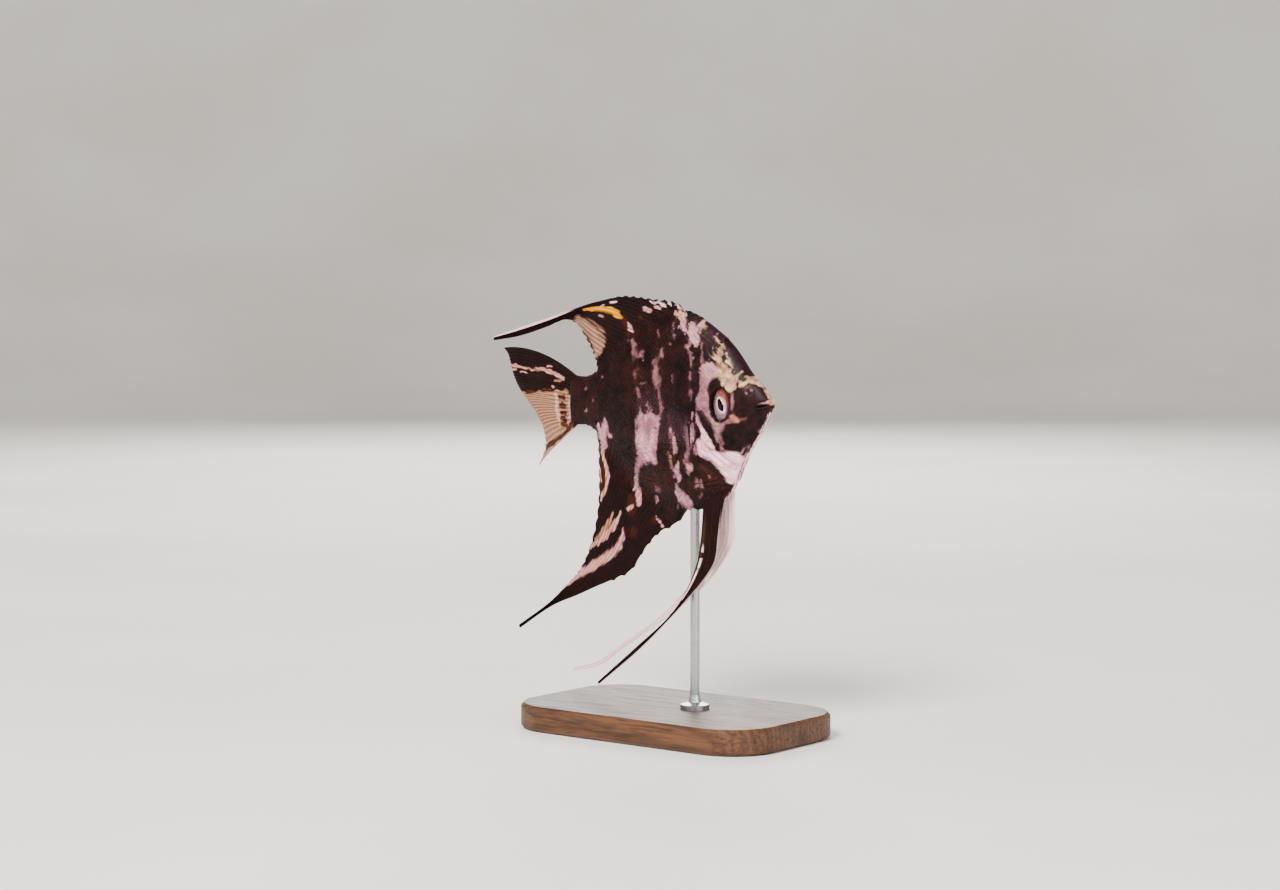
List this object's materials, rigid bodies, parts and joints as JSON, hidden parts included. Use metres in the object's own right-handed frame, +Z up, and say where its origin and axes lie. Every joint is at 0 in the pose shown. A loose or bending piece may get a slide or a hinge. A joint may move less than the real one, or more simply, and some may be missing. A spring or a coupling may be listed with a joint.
{
  "type": "freshwater angelfish model",
  "caption": "Marble freshwater angelfish, life size and still: deep disc-shaped body, swept-back dorsal and anal fins, long trailing pelvic fins, on a flat display stand with a slim rod.",
  "frame": {"origin": "centre of the stand base's underside, on the table", "axes": "+X the way the fish faces, +Y its left side, +Z up"},
  "size_m": [0.0887, 0.042, 0.1002],
  "materials": {
    "skin": "maroon-black scaled skin with silver-lilac marbling",
    "pale_skin": "silver-pink skin with a bluish sheen",
    "dark_fin": "thin ribbed membrane, maroon-black",
    "pale_fin": "thin ribbed membrane, milk white",
    "clear_fin": "thin ribbed membrane, almost clear",
    "eye": "wet clear cornea over a dark and silver iris",
    "stand_wood": "dark walnut, satin oil finish",
    "stand_steel": "brushed"
  },
  "bodies": {
    "root": {"head": "skin", "upper_jaw": "skin", "lower_jaw": "skin", "gill_cover_right": "pale_skin", "gill_cover_left": "pale_skin", "trunk": "skin", "tail_stem": "skin", "eye_right": "eye", "eye_left": "eye", "dorsal_fin": "dark_fin", "anal_fin": "dark_fin", "tail_fin": "clear_fin", "pectoral_fin_right": "clear_fin", "pectoral_fin_left": "clear_fin", "pelvic_fin_right": "dark_fin", "pelvic_fin_left": "pale_fin", "stand_base": "stand_wood", "stand_rod": "stand_steel"}
  },
  "joints": []
}
